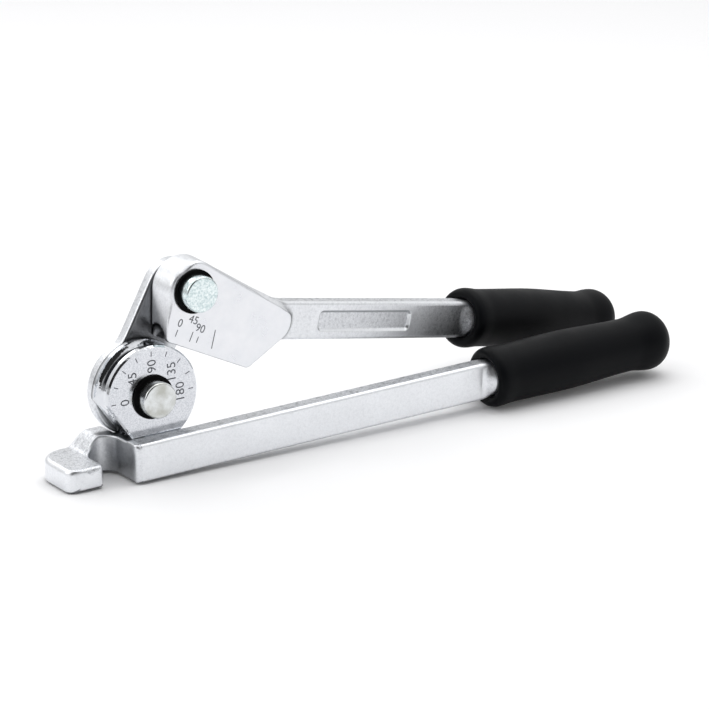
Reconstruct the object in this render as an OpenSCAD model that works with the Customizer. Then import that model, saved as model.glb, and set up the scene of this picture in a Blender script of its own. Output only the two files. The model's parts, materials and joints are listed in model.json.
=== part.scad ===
// Lever-type tube bender: a grooved form on a forged handle with a hook,
// and a second forged handle whose shoe swings round the form on a link.
// Millimetres, +X along the lower handle towards its grip, +Y to the back, +Z up.

/* [Tube] */
// Outside diameter of the tube that is bent
tube_d = 8; // [7:0.5:9]
// Radius of the bend at the tube's centreline
bend_r = 23.5; // [23:0.5:26]
// Radial room between the tube and the two grooves
tube_clear = 0.05; // [0.02:0.01:0.2]

/* [Pose] */
// Bend angle on the dial at which the handles are shown
bend_shown = 117.7; // [105:0.1:125]
// Angle by which the shoe is shown lifted off the tube
shoe_open_angle = 1.4; // [0:0.1:4]

/* [Bending form] */
// Thickness of the form across both flanges
form_t = 14; // [13:0.5:18]
// How far the flange's rim stops short of the tube's centreline
form_lip = 0.5; // [0.3:0.1:1.2]
// Chamfer on the flange's rims
form_chamfer = 0.5; // [0.2:0.1:1]
// Height of the form's axis above the underside of the bar
form_axis_z = 34.9; // [34:0.1:40]
// Direction in which the flanges are cut back for the held tube, in degrees from +X
form_cut_angle = 215; // [205:1:225]
// Distance from the form's axis to that cut
form_cut_r = 18.7; // [17:0.1:20]

/* [Form screws] */
// Shank diameter of the two screws that hold the form on its seat
screw_d = 4; // [3:0.5:4]
// Distance between the two screws
screw_pitch = 9; // [8:0.5:9.5]
// Depth of thread in the form
screw_grip = 7; // [5:0.5:8]
// Diameter of the countersunk heads
screw_head_d = 8; // [7:0.5:8.5]
// Height of the countersunk heads
screw_head_h = 2.2; // [1.5:0.1:3]
// Key size of the hexagon sockets
screw_key = 2.5; // [2:0.5:3]
// Depth of the hexagon sockets
screw_socket = 1.5; // [1:0.1:2]
// Radial room round a screw in the seat
screw_clear = 0.2; // [0.1:0.05:0.4]

/* [Handle bars] */
// Height of both bars
bar_h = 17.7; // [17.2:0.1:19]
// Thickness of both bars
bar_t = 9; // [8:0.5:10]
// Rounding of the bars' long edges
bar_edge_r = 1.6; // [0.8:0.1:2.5]
// Distance from the form's axis to the mouth of the lower grip
lower_reach = 176.8; // [150:0.1:220]
// Distance from the root of the upper bar to the mouth of the upper grip
upper_reach = 132.3; // [120:0.1:170]
// Length of the bars inside the grips
tang_l = 88; // [70:1:93]
// How much smaller the bars are all round inside the grips
tang_step = 0.4; // [0.2:0.1:1]

/* [Hook] */
// Height of the hook's end block
hook_h = 10.4; // [8:0.2:12]
// Length of the end block along the handle
hook_block_l = 17.2; // [12:0.1:20]
// Length of the slope from the end block up to the neck
hook_slope_l = 9.5; // [6:0.5:12]
// Distance from the handle's mid-plane to the front of the end block
hook_front = 0.8; // [0:0.1:2]
// Width of the neck behind the slot
neck_w = 13; // [10:0.5:15]
// Rounding of the block's front corner
hook_corner_r = 5; // [3:0.5:6]
// Rounding of the hook's back corners
hook_back_r = 12; // [8:0.5:13]
// Width of the slot that the held tube passes through
slot_w = 13.5; // [12.5:0.1:15]
// Distance from the form's axis to the free side of the neck
neck_end = 2; // [0:0.5:4]
// Room between the hook's neck and the link's disc that turns above it
disc_room = 0.5; // [0.3:0.1:1]
// Height of the seat under the form
seat_h = 17; // [16:0.1:17.4]
// Length of the seat to the right of the form's axis
seat_l = 15; // [13:0.5:16]

/* [Link and pins] */
// Distance from the shoe pin to the shoe's edge
shoe_drop = 24.7; // [23:0.1:28]
// How far the shoe's edge stands off the tube's centreline
shoe_lip = 1.05; // [0.6:0.05:2]
// Thickness of the link plate
link_t = 6.2; // [5:0.1:8]
// Radius of the link's disc round the form pin
link_disc_r = 21.3; // [18:0.1:22]
// Half the width of the link's arm at the disc
link_arm_w = 15.4; // [12:0.1:17]
// Radius of the link's end round the shoe pin
link_end_r = 14; // [12:0.1:15]
// Diameter of both pins
pin_d = 16.2; // [14:0.1:17]
// Radial running clearance of the pins in the form and the head
pin_clear = 0.05; // [0.02:0.01:0.1]
// Length of the pins' plain ends in front of the rings
pin_tip = 6; // [4:0.1:9]
// Chamfer on the pins' front ends
pin_chamfer = 1; // [0.4:0.1:2]
// Diameter of the pins' heads behind the link
pin_head_d = 21; // [19:0.5:23]
// Thickness of the pins' heads
pin_head_t = 2.5; // [2:0.1:4]
// Outside diameter of the retaining rings
ring_d = 19.8; // [18.5:0.1:21]
// Thickness of the retaining rings
ring_t = 1; // [0.8:0.1:1.5]
// Depth of the ring grooves in the pins
ring_groove = 0.6; // [0.4:0.1:1]
// Width of the gap in a ring
ring_gap = 5; // [3:0.5:7]

/* [Upper handle] */
// Angle between the shoe's edge and the bar, in the plane of the form
handle_angle = 13.2; // [10:0.05:18]
// Angle by which the bar leans to the back, so that the grips pass each other
handle_splay = 10.2; // [9:0.1:13]
// Radius of the head round the shoe pin
head_r = 13; // [12:0.1:15]
// Distance along the shoe from the pin's line to the centre of the bar's root
root_u = 46; // [42:0.5:52]
// Distance from the shoe's edge to the centre of the bar's root
root_v = 23; // [20:0.1:25]
// Radius of the head round the bar's root
root_r = 9.1; // [8.9:0.1:10.5]
// Distance along the shoe from the pin's line to its outer tip
shoe_toe = 43.3; // [36:0.1:46]
// Rounding of the shoe's outer tip
toe_r = 3.3; // [2:0.1:5]
// Distance along the shoe from the pin's line to its inner end
shoe_heel = 4.8; // [3:0.1:8]
// Rounding of the shoe's inner end
heel_r = 2.5; // [1.5:0.1:3]
// Length of the shallow panel in the bar's front
panel_l = 60; // [40:1:70]
// Height of the panel
panel_h = 9.7; // [8:0.1:12]
// Depth of the panel
panel_depth = 0.8; // [0.4:0.1:1.5]
// Corner radius of the panel
panel_r = 2; // [1:0.5:4]
// Distance from the bar's root to the start of the panel
panel_start = 33; // [28:1:50]

/* [Grips] */
// Length of each grip
grip_l = 107.8; // [101:0.1:125]
// Radius of the lip round the mouth
lip_r = 14.4; // [13.9:0.1:15]
// Distance from the mouth to the top of the lip
lip_at = 4; // [3:0.5:6]
// Radius of the hollow behind the lip
waist_r = 13.8; // [13:0.1:14]
// Distance from the mouth to the hollow behind the lip
waist_at = 12; // [9:0.5:20]
// Radius of the swell in the middle
swell_r = 14.2; // [13.2:0.1:15]
// Distance from the mouth to the middle of the swell
swell_at = 43; // [35:1:55]
// Radius of the neck in front of the end bulb
grip_neck_r = 13.3; // [12:0.1:13.8]
// Distance from the mouth to the neck
grip_neck_at = 81; // [70:1:86]
// Radius of the end bulb
bulb_r = 14.6; // [14:0.1:16]
// Length of the rounded cap beyond the bulb's widest place
cap_l = 12.5; // [10:0.5:15]
// Width of the rim round the mouth
rim_w = 1.8; // [1:0.1:3]
// Depth of the funnel in the mouth
funnel_depth = 6.5; // [3:0.5:9]
// Radius of the bottom of the funnel
funnel_r = 5; // [3:0.5:8]

/* [Clearances] */
// Gap between pieces that slide past each other
slide_gap = 0.3; // [0.2:0.05:0.5]
// Gap between a retaining ring and the face behind it
ring_play = 0.1; // [0.05:0.05:0.3]

/* [Hidden] */
$fn = 96;
past = 1;
hair = 0.02;
steel = [0.78, 0.79, 0.81];
polished = [0.86, 0.87, 0.89];
black = [0.07, 0.07, 0.075];

// Depths, front to back, from the mid-plane of the lower bar
bar_back = bar_t / 2;
form_back = bar_back + form_t;
groove_y = bar_back + form_t / 2;
head_front = bar_back + slide_gap;
head_t = form_t - 2 * slide_gap;
link_front = form_back + slide_gap;
link_back = link_front + link_t;

// Grooves for the tube
groove_r = tube_d / 2 + tube_clear;
form_r = bend_r - form_lip;
link_l = bend_r + shoe_lip + shoe_drop;

// Hook, in plan
slot_left = -bend_r - groove_r;
slot_right = slot_left + slot_w;
hook_left = slot_left - hook_block_l;
slot_back = groove_y + slot_w / 2;
hook_back = slot_back + neck_w;

// Pins
pin_r = pin_d / 2;
ring_in_r = pin_r - ring_groove;

// Shoe pin, the way the shoe points, the root of the upper bar and the way it points
shoe_pin_x = -link_l * cos(bend_shown);
shoe_pin_z = form_axis_z + link_l * sin(bend_shown);
shoe_way = 90 - bend_shown + shoe_open_angle;
root_rise = root_v - shoe_drop;
root_x = shoe_pin_x + root_u * cos(shoe_way) - root_rise * sin(shoe_way);
root_z = shoe_pin_z + root_u * sin(shoe_way) + root_rise * cos(shoe_way);
bar_pitch = shoe_way + handle_angle;
bar_way = [cos(handle_splay) * cos(bar_pitch), sin(handle_splay), cos(handle_splay) * sin(bar_pitch)];

// Middle of the two rounded grip ends, and the box round the whole tool
cap_at = grip_l - cap_l;
lower_cap = [lower_reach + cap_at, 0, bar_h / 2];
upper_cap = [root_x, groove_y, root_z] + (upper_reach + cap_at) * bar_way;
function cap_spread(k) = sqrt(pow(cap_l * k, 2) + pow(bulb_r, 2) * (1 - k * k));
x_low = hook_left;
x_high = max(lower_cap.x + cap_l, upper_cap.x + cap_spread(bar_way.x));
y_low = -bulb_r;
y_high = upper_cap.y + cap_spread(bar_way.y);
z_low = min(lower_cap.z - bulb_r, upper_cap.z - cap_spread(bar_way.z));

// Moves the tool so that the origin is the middle of the underside of its box
module placed() {
    translate([-(x_low + x_high) / 2, -(y_low + y_high) / 2, -z_low]) children();
}

// Draws a flat outline in the plane of the form, from depth y over thickness t
module plate(y, t) {
    translate([0, y + t, 0]) rotate([90, 0, 0]) linear_extrude(height = t) children();
}

// Turns the link's outline, drawn upright from the form's axis, to the bend that is shown
module at_bend() {
    translate([0, form_axis_z]) rotate(90 - bend_shown) children();
}

// Places the head's outline, drawn from the shoe pin with the shoe along +x
module at_shoe() {
    translate([shoe_pin_x, shoe_pin_z]) rotate(shoe_way) children();
}

// Lays a shape made along +X on the axis of the upper bar
module on_upper_bar() {
    translate([root_x, groove_y, root_z]) rotate([0, -bar_pitch, 0]) rotate([0, 0, handle_splay]) children();
}

// Turned shape: its axis lies along +Y and starts at depth y
module turned(x, z, y) {
    translate([x, y, z]) rotate([-90, 0, 0]) children();
}

// Outline that runs round a ring of circles [x, y, r], listed anticlockwise.
// Its straight sides lie a hair inside the tangents, so that they cross the circles cleanly.
function tangent_way(a, b) = atan2(b.y - a.y, b.x - a.x) - acos((a.z - b.z) / norm([b.x - a.x, b.y - a.y]));
function on_circle(c, way) = [c.x + (c.z - hair) * cos(way), c.y + (c.z - hair) * sin(way)];
module belt(circles) {
    count = len(circles);
    for (c = circles) translate([c.x, c.y]) circle(r = c.z);
    polygon([for (i = [0 : count - 1])
        let (a = circles[i], b = circles[(i + 1) % count], way = tangent_way(a, b))
        each [on_circle(a, way), on_circle(b, way)]]);
}

// Rectangle with round corners, centred
module rounded(w, h, r) {
    square([w, h - 2 * r], center = true);
    square([w - 2 * r, h], center = true);
    for (x = [-1, 1], y = [-1, 1]) translate([x * (w / 2 - r), y * (h / 2 - r)]) circle(r = r);
}

// Bar along +X from a to b, centred on the axis, and smaller all round by less
module bar(a, b, less = 0) {
    translate([a, 0, 0]) rotate([90, 0, 90]) linear_extrude(height = b - a)
        rounded(bar_t - 2 * less, bar_h - 2 * less, bar_edge_r);
}

// Bar with the smaller tang that goes into a grip, whose mouth is at distance reach
module gripped_bar(a, reach) {
    bar(a, reach);
    bar(reach - past, reach + tang_l, tang_step);
}

// Plan of the hook and its neck, with the slot for the held tube cut into it
module hook_plan() {
    difference() {
        belt([[hook_left + hook_corner_r, hook_front + hook_corner_r, hook_corner_r],
              [-neck_end - hook_corner_r, hook_front + hook_corner_r, hook_corner_r],
              [-neck_end - hook_back_r, hook_back - hook_back_r, hook_back_r],
              [hook_left + hook_back_r, hook_back - hook_back_r, hook_back_r]]);
        translate([(slot_left + slot_right) / 2, groove_y]) circle(d = slot_w);
        translate([slot_left, -bar_t]) square([slot_w, groove_y + bar_t]);
    }
}

// Side view of the hook: the block, the slope behind it and the top of the neck
module hook_side() {
    polygon([[hook_left - past, 0], [past, 0], [past, seat_h], [slot_left + hook_slope_l, seat_h],
             [slot_left, hook_h], [hook_left - past, hook_h]]);
}

module screw_places() {
    for (x = [-1, 1]) translate([x * screw_pitch / 2, groove_y, 0]) children();
}

// Forged bar, seat for the form and hook, in one piece
module lower_handle() {
    color(steel) placed() difference() {
        union() {
            translate([0, 0, bar_h / 2]) gripped_bar(slot_right, lower_reach);
            translate([slot_right, 0, 0]) cube([seat_l - slot_right, form_back, seat_h]);
            intersection() {
                linear_extrude(height = bar_h) hook_plan();
                plate(-bar_t, hook_back + 2 * bar_t) hook_side();
            }
        }
        turned(0, form_axis_z, form_back) cylinder(r = link_disc_r + disc_room, h = hook_back);
        screw_places() {
            translate([0, 0, -past]) cylinder(r = screw_d / 2 + screw_clear, h = seat_h + 2 * past);
            cylinder(r1 = screw_head_d / 2 + screw_clear, r2 = screw_d / 2 + screw_clear, h = screw_head_h);
        }
    }
}

// Half section of the form, from its axis out to the grooved rim
module form_section() {
    difference() {
        polygon([[0, 0], [form_r - form_chamfer, 0], [form_r, form_chamfer],
                 [form_r, form_t - form_chamfer], [form_r - form_chamfer, form_t], [0, form_t]]);
        translate([bend_r, form_t / 2]) circle(r = groove_r);
    }
}

// Grooved wheel that the tube is bent round, with its flanges cut back at the held side
module bending_form() {
    cut_w = 2 * form_r;
    color(polished) placed() difference() {
        turned(0, form_axis_z, bar_back) rotate_extrude() form_section();
        turned(0, form_axis_z, bar_back - past) cylinder(r = pin_r + pin_clear, h = form_t + 2 * past);
        translate([-cut_w, 0, seat_h - cut_w]) cube([2 * cut_w, form_back + past, cut_w]);
        translate([0, 0, form_axis_z]) rotate([0, -form_cut_angle, 0])
            translate([form_cut_r, 0, -cut_w]) cube([cut_w, form_back + past, 2 * cut_w]);
        screw_places() translate([0, 0, seat_h - past]) cylinder(d = screw_d, h = screw_grip + past);
    }
}

// Two countersunk screws that hold the form down from below
module form_screws() {
    color(steel) placed() screw_places() difference() {
        union() {
            cylinder(d1 = screw_head_d, d2 = screw_d, h = screw_head_h);
            cylinder(d = screw_d, h = seat_h + screw_grip);
        }
        translate([0, 0, -past]) cylinder(d = screw_key / cos(30), h = screw_socket + past, $fn = 6);
    }
}

// Plate behind the form that carries both pins
module link_plate() {
    color(steel) placed() difference() {
        plate(link_front, link_t) at_bend() {
            circle(r = link_disc_r);
            belt([[0, 0, link_arm_w], [0, link_l, link_end_r]]);
        }
        plate(link_front - past, link_t + 2 * past) at_bend()
            for (v = [0, link_l]) translate([0, v]) circle(r = pin_r);
    }
}

// Headed pin with a ring groove in front of the face at depth y, and a plain chamfered end
module link_pin(x, z, y) {
    ring_back = y - ring_play;
    tip_y = ring_back - ring_t - pin_tip;
    end = link_back - tip_y;
    ring_at = pin_tip;
    color(polished) placed() turned(x, z, tip_y) rotate_extrude()
        polygon([[0, 0], [pin_r - pin_chamfer, 0], [pin_r, pin_chamfer],
                 [pin_r, ring_at], [ring_in_r, ring_at], [ring_in_r, ring_at + ring_t], [pin_r, ring_at + ring_t],
                 [pin_r, end], [pin_head_d / 2, end], [pin_head_d / 2, end + pin_head_t], [0, end + pin_head_t]]);
}

// Open retaining ring that sits in a pin's groove in front of the face at depth y
module pin_ring(x, z, y) {
    color(black) placed() turned(x, z, y - ring_play - ring_t) difference() {
        cylinder(d = ring_d, h = ring_t);
        translate([0, 0, -past]) cylinder(r = ring_in_r, h = ring_t + 2 * past);
        translate([0, -ring_gap / 2, -past]) cube([ring_d, ring_gap, ring_t + 2 * past]);
    }
}

module form_pin() { link_pin(0, form_axis_z, bar_back); }
module shoe_pin() { link_pin(shoe_pin_x, shoe_pin_z, head_front); }
module form_pin_ring() { pin_ring(0, form_axis_z, bar_back); }
module shoe_pin_ring() { pin_ring(shoe_pin_x, shoe_pin_z, head_front); }

// Outline of the head: heel and toe of the shoe, root of the bar and pin boss
module head_outline() {
    belt([[-shoe_heel + heel_r, heel_r - shoe_drop, heel_r],
          [shoe_toe - toe_r, toe_r - shoe_drop, toe_r],
          [root_u, root_rise, root_r],
          [0, 0, head_r]]);
}

// Forged head with the grooved shoe, and the bar that leans to the back
module upper_handle() {
    groove_l = 2 * (root_u + root_r);
    color(steel) placed() difference() {
        union() {
            plate(head_front, head_t) at_shoe() head_outline();
            on_upper_bar() gripped_bar(0, upper_reach);
        }
        turned(shoe_pin_x, shoe_pin_z, head_front - past) cylinder(r = pin_r + pin_clear, h = head_t + 2 * past);
        translate([shoe_pin_x, groove_y, shoe_pin_z]) rotate([0, -shoe_way, 0])
            translate([-groove_l / 2, 0, bend_r - link_l]) rotate([0, 90, 0]) cylinder(r = groove_r, h = groove_l);
        on_upper_bar() translate([panel_start + panel_l / 2, panel_depth - bar_t / 2, 0])
            rotate([90, 0, 0]) linear_extrude(height = panel_depth + past) rounded(panel_l, panel_h, panel_r);
    }
}

// Outer radius of a grip at distance s from its mouth: rounded lip, swell, neck, bulb and cap
function ease(t) = t * t * (3 - 2 * t);
function between(s, a, ra, b, rb) = ra + (rb - ra) * ease((s - a) / (b - a));
function grip_radius(s) =
    s < lip_at ? lip_r - rim_w * (1 - sqrt(1 - pow(1 - s / lip_at, 2))) :
    s < waist_at ? between(s, lip_at, lip_r, waist_at, waist_r) :
    s < swell_at ? between(s, waist_at, waist_r, swell_at, swell_r) :
    s < grip_neck_at ? between(s, swell_at, swell_r, grip_neck_at, grip_neck_r) :
    s < cap_at ? between(s, grip_neck_at, grip_neck_r, cap_at, bulb_r) :
    bulb_r * sqrt(1 - pow((s - cap_at) / cap_l, 2));

// Soft grip along +X from its mouth at 0, hollow where the bar goes in
module grip() {
    body_step = 3;
    cap_turn = 10;
    body = [for (s = [0 : body_step : cap_at - body_step / 2]) [grip_radius(s), s]];
    cap = [for (a = [0 : cap_turn : 90]) [bulb_r * cos(a), cap_at + cap_l * sin(a)]];
    difference() {
        rotate([0, 90, 0]) rotate_extrude()
            polygon(concat([[0, funnel_depth], [funnel_r, funnel_depth]], body, cap));
        bar(-past, tang_l, tang_step);
    }
}

module lower_grip() { color(black) placed() translate([lower_reach, 0, bar_h / 2]) grip(); }
module upper_grip() { color(black) placed() on_upper_bar() translate([upper_reach, 0, 0]) grip(); }

lower_handle();
bending_form();
form_screws();
lower_grip();
link_plate();
form_pin();
shoe_pin();
form_pin_ring();
shoe_pin_ring();
upper_handle();
upper_grip();
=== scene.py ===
import json
import bmesh
import bpy
import numpy as np
from mathutils import Matrix, Vector


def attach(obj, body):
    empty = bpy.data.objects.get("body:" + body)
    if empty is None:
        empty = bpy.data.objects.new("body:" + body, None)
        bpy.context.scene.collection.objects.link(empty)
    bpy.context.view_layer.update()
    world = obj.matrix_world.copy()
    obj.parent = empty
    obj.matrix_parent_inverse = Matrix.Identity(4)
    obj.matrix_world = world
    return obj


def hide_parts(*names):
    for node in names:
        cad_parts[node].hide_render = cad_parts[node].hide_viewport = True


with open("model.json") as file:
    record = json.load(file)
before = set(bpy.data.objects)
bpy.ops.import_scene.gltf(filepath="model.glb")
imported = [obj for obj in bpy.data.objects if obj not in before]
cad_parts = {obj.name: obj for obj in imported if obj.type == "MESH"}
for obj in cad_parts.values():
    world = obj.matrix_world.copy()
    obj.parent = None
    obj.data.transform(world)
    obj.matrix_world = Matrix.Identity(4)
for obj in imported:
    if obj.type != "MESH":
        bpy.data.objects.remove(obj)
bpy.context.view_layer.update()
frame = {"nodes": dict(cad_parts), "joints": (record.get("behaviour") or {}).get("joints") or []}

# Sizes are in millimetres, in the handle's own frame: +X along the lower bar from the hook
# to the grip, +Y to the back and +Z up. X = 0 is the form's axis, Y = 0 the middle of the
# lower bar and Z = 0 its underside. Points become metres in the row frame as a mesh is made.
GROOVE_Y = 11.5
FORM_AXIS_Z = 34.9
SHOE_LEAN = np.radians(1.4)
JOINTS = {joint["name"]: 1000 * np.array(joint["pos_m"]) for joint in frame["joints"]}
HANDLE_ORIGIN = JOINTS["bend_swing"] - (0, GROOVE_Y, FORM_AXIS_Z)
FORM_AXIS = np.array([0, FORM_AXIS_Z])
SHOE_PIN = (JOINTS["shoe_lift"] - HANDLE_ORIGIN)[[0, 2]]
LINK_L = np.linalg.norm(SHOE_PIN - FORM_AXIS)
LINK_WAY = np.arctan2(SHOE_PIN[1] - FORM_AXIS[1], SHOE_PIN[0])
SHOE_WAY = LINK_WAY - np.pi / 2 + SHOE_LEAN

# Both bars: their section, and half the height of the flat sides
BAR_T = 9
BAR_H = 17.7
BAR_EDGE = 1.6
BAR_FLAT = 6.6
LOWER_REACH = 176.8
UPPER_REACH = 132.3
# The round end of a bar: its radius, the run-out from the flat bar, and its length in the grip
ROUND_R = 8.9
RUN_OUT = 6.5
INTO_GRIP = 25
SEAT_H = 17

FORM_FRONT = BAR_T / 2
FORM_BACK = 18.5
FORM_R = 23
BEND_R = 23.5
GROOVE_R = 4.05
PIN_R = 8.1
BORE_R = PIN_R + 0.05
RING_T = 1
RING_PLAY = 0.1

HEAD_FRONT = 4.8
HEAD_BACK = 18.2
BAR_ROOT = (63.379, GROOVE_Y, 56.6)
BAR_PITCH = np.radians(-13.1)
BAR_SPLAY = np.radians(10.2)

GRIP_L = 107.8
UPPER_MOUTH_EARLY = 3
LIP_R, LIP_AT, LIP_ROLL = 14.3, 4.2, 2.9
LIP_CONTACT = 1.8

# Grain of the forgings, from 0 to 1: on sides that the dies pressed, and on the head
SMOOTH_GRAIN = 0.18
HEAD_GRAIN = 0.3


# Shapes

def eased(t):
    """Smooth step from 0 to 1: three t squared less two t cubed, held outside 0 to 1."""
    t = np.clip(t, 0, 1)
    return t * t * (3 - 2 * t)


def fade(value, start, end):
    """Smooth step from 0 where a value is at start to 1 where it is at end, which may be lower."""
    return eased((value - start) / (end - start))


def heading(angle):
    """Unit vectors at angles from the first axis: cosine and sine."""
    return np.stack([np.cos(angle), np.sin(angle)], -1)


def turn_by(angle):
    """Matrix that turns rows of flat points anticlockwise."""
    return np.array([[np.cos(angle), np.sin(angle)], [-np.sin(angle), np.cos(angle)]])


def upright(flat, depth):
    """Points from flat points, across and up, and their depths along Y."""
    return np.stack([flat[..., 0], np.broadcast_to(depth, flat.shape[:-1]), flat[..., 1]], -1)


def grid_faces(rows, columns, wrap_rows):
    """Four-sided faces between neighbours on a grid whose columns run round and close."""
    i, j = np.meshgrid(np.arange(rows if wrap_rows else rows - 1), np.arange(columns), indexing="ij")
    after, beside = (i + 1) % rows, (j + 1) % columns
    corners = [i * columns + j, i * columns + beside, after * columns + beside, after * columns + j]
    return np.stack(corners, -1).reshape(-1, 4)


def closed_skin(sections):
    """Skin over a row of closed sections, with a fan to the middle of the first and the last."""
    rows, columns, _ = sections.shape
    middles = sections[[0, -1]].mean(1)
    points = np.concatenate([sections.reshape(-1, 3), middles])
    here = np.arange(columns)
    beside = (here + 1) % columns
    first = np.stack([np.full(columns, rows * columns), beside, here], 1)
    end = (rows - 1) * columns
    last = np.stack([np.full(columns, rows * columns + 1), end + here, end + beside], 1)
    return points, grid_faces(rows, columns, False).tolist() + first.tolist() + last.tolist()


def ring_skin(sections):
    """Skin over sections whose last row joins the first again, as round a bore."""
    rows, columns, _ = sections.shape
    return sections.reshape(-1, 3), grid_faces(rows, columns, True).tolist()


def with_ends(values):
    """Values of a closed skin's sections, with a value for the middles of its two ends."""
    return np.append(values, [0, 0])


def arc(start, end, count):
    """Cosine and sine of evenly spaced angles, given in degrees."""
    angle = np.radians(np.linspace(start, end, count))
    return np.cos(angle), np.sin(angle)


def rounded_section(width, height, radius, side_points=()):
    """Rectangle with quarter-round corners, as across and up distances from its middle. Points close
    to each round keep the flats flat, and side points are more heights on the two upright sides."""
    a, b = width / 2, height / 2
    near = 0.25 * radius
    turns = [(-a + radius, b - radius, 180, 90), (a - radius, b - radius, 90, 0),
             (a - radius, radius - b, 0, -90), (radius - a, radius - b, 270, 180)]
    sides = [(0, 1), (1, 0), (0, -1), (-1, 0)]
    heights = np.asarray(side_points, float)
    extra = [(-a, heights), (0, heights[:0]), (a, heights[::-1]), (0, heights[:0])]
    across, up = [], []
    for k, (x, z, start, end) in enumerate(turns):
        c, s = arc(start, end, 9)
        x, z = x + radius * c, z + radius * s
        (dx, dz), (nx, nz) = sides[k], sides[(k + 1) % 4]
        beside, more = extra[k]
        across += [np.full(len(more), beside), [x[0] - near * dx], x, [x[-1] + near * nx]]
        up += [more, [z[0] - near * dz], z, [z[-1] + near * nz]]
    return np.concatenate(across), np.concatenate(up)


def belt_outline(circles, arc_points=28, side_points=14):
    """Outline of a belt round circles [x, y, r], listed anticlockwise: on each circle the arc
    between its two tangents, then the straight side to the next. Gives points and outward normals."""
    c = np.asarray(circles, float)
    ahead = np.roll(c, -1, 0)
    step = ahead[:, :2] - c[:, :2]
    way = np.arctan2(step[:, 1], step[:, 0]) - np.arccos((c[:, 2] - ahead[:, 2]) / np.hypot(*step.T))
    come = np.roll(way, 1)
    swing = (way - come) % (2 * np.pi)
    normal = heading(come[:, None] + swing[:, None] * np.linspace(0, 1, arc_points))
    rounds = c[:, None, :2] + c[:, None, 2:] * normal
    share = np.linspace(0, 1, side_points + 2)[1:-1, None]
    leave = normal[:, -1:]
    start = rounds[:, -1:]
    end = ahead[:, None, :2] + ahead[:, None, 2:] * leave
    sides = start + (end - start) * share
    points = np.concatenate([rounds, sides], 1).reshape(-1, 2)
    normals = np.concatenate([normal, np.repeat(leave, side_points, 1)], 1).reshape(-1, 2)
    return points, normals


def turned_sections(radius, depth, axis, count=96):
    """Sections of a shape turned about a line along Y: circles of the given radii and depths."""
    angle = np.linspace(0, 2 * np.pi, count, endpoint=False)
    return upright(axis + radius[:, None, None] * heading(angle), depth[:, None])


def make_piece(name, skins, materials, body, slot, stands_for=(), finish=None, crease=32, **grain_and_shade):
    """Joins closed skins into one mesh at its place in the row frame, turns its faces outwards,
    creases edges sharper than the given angle, parents the piece to its body and hides the nodes it stands
    for.
    Finish is the number of each face's material. The keyword arguments, grain and painted shade, give
    values from 0 to 1 at each point, under the name that the material reads."""
    offsets = np.cumsum([0] + [len(points) for points, _ in skins])
    points = np.concatenate([points for points, _ in skins])
    faces = [[k + offset for k in face] for (_, rows), offset in zip(skins, offsets) for face in rows]
    mesh = bpy.data.meshes.new(name)
    mesh.from_pydata(((points + HANDLE_ORIGIN) / 1000).tolist(), [], faces)
    for material in materials:
        mesh.materials.append(material)
    if finish is not None:
        mesh.polygons.foreach_set("material_index", np.asarray(finish, np.int32))
    shell = bmesh.new()
    shell.from_mesh(mesh)
    bmesh.ops.recalc_face_normals(shell, faces=shell.faces)
    shell.to_mesh(mesh)
    shell.free()
    for field, values in grain_and_shade.items():
        mesh.attributes.new(field, "FLOAT", "POINT").data.foreach_set("value", values)
    mesh.shade_smooth()
    mesh.set_sharp_from_angle(angle=np.radians(crease))
    piece = bpy.data.objects.new(name, mesh)
    bpy.context.scene.collection.objects.link(piece)
    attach(piece, body)
    if stands_for:
        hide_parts(*stands_for)


# Materials

def linear(hex_colour):
    """Linear RGBA of an sRGB hex colour."""
    s = np.array([int(hex_colour[i:i + 2], 16) for i in (1, 3, 5)]) / 255
    rgb = np.where(s <= 0.04045, s / 12.92, ((s + 0.055) / 1.055) ** 2.4)
    return (*rgb.tolist(), 1.0)


def add(tree, kind, inputs, stops=(), **settings):
    """Adds a shader node with its settings. Each input is a value, an output to link, or a node
    whose first output is linked. Stops are the places and colours of a ramp, in order."""
    node = tree.nodes.new("ShaderNode" + kind)
    for name, value in settings.items():
        setattr(node, name, value)
    for name, value in inputs.items():
        if isinstance(value, bpy.types.Node):
            value = value.outputs[0]
        if isinstance(value, bpy.types.NodeSocket):
            tree.links.new(value, node.inputs[name])
        else:
            node.inputs[name].default_value = value
    for place, _ in stops[1:-1]:
        node.color_ramp.elements.new(place)
    for k, (place, colour) in enumerate(stops):
        node.color_ramp.elements[k].position = place
        node.color_ramp.elements[k].color = linear(colour)
    return node


def new_material(name):
    """Empty material. Gives the material, its tree and the object's own coordinates in millimetres."""
    material = bpy.data.materials.new(name)
    material.use_nodes = True
    tree = material.node_tree
    tree.nodes.clear()
    place = add(tree, "TexCoord", {})
    mm = add(tree, "Mapping", {"Vector": place.outputs["Object"], "Scale": (1000, 1000, 1000)})
    return material, tree, mm


def surfaced(material, sockets):
    """Ends a material with its surface shader, which takes the given sockets, and gives it back."""
    surface = add(material.node_tree, "BsdfPrincipled", sockets)
    add(material.node_tree, "OutputMaterial", {"Surface": surface})
    return material


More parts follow.
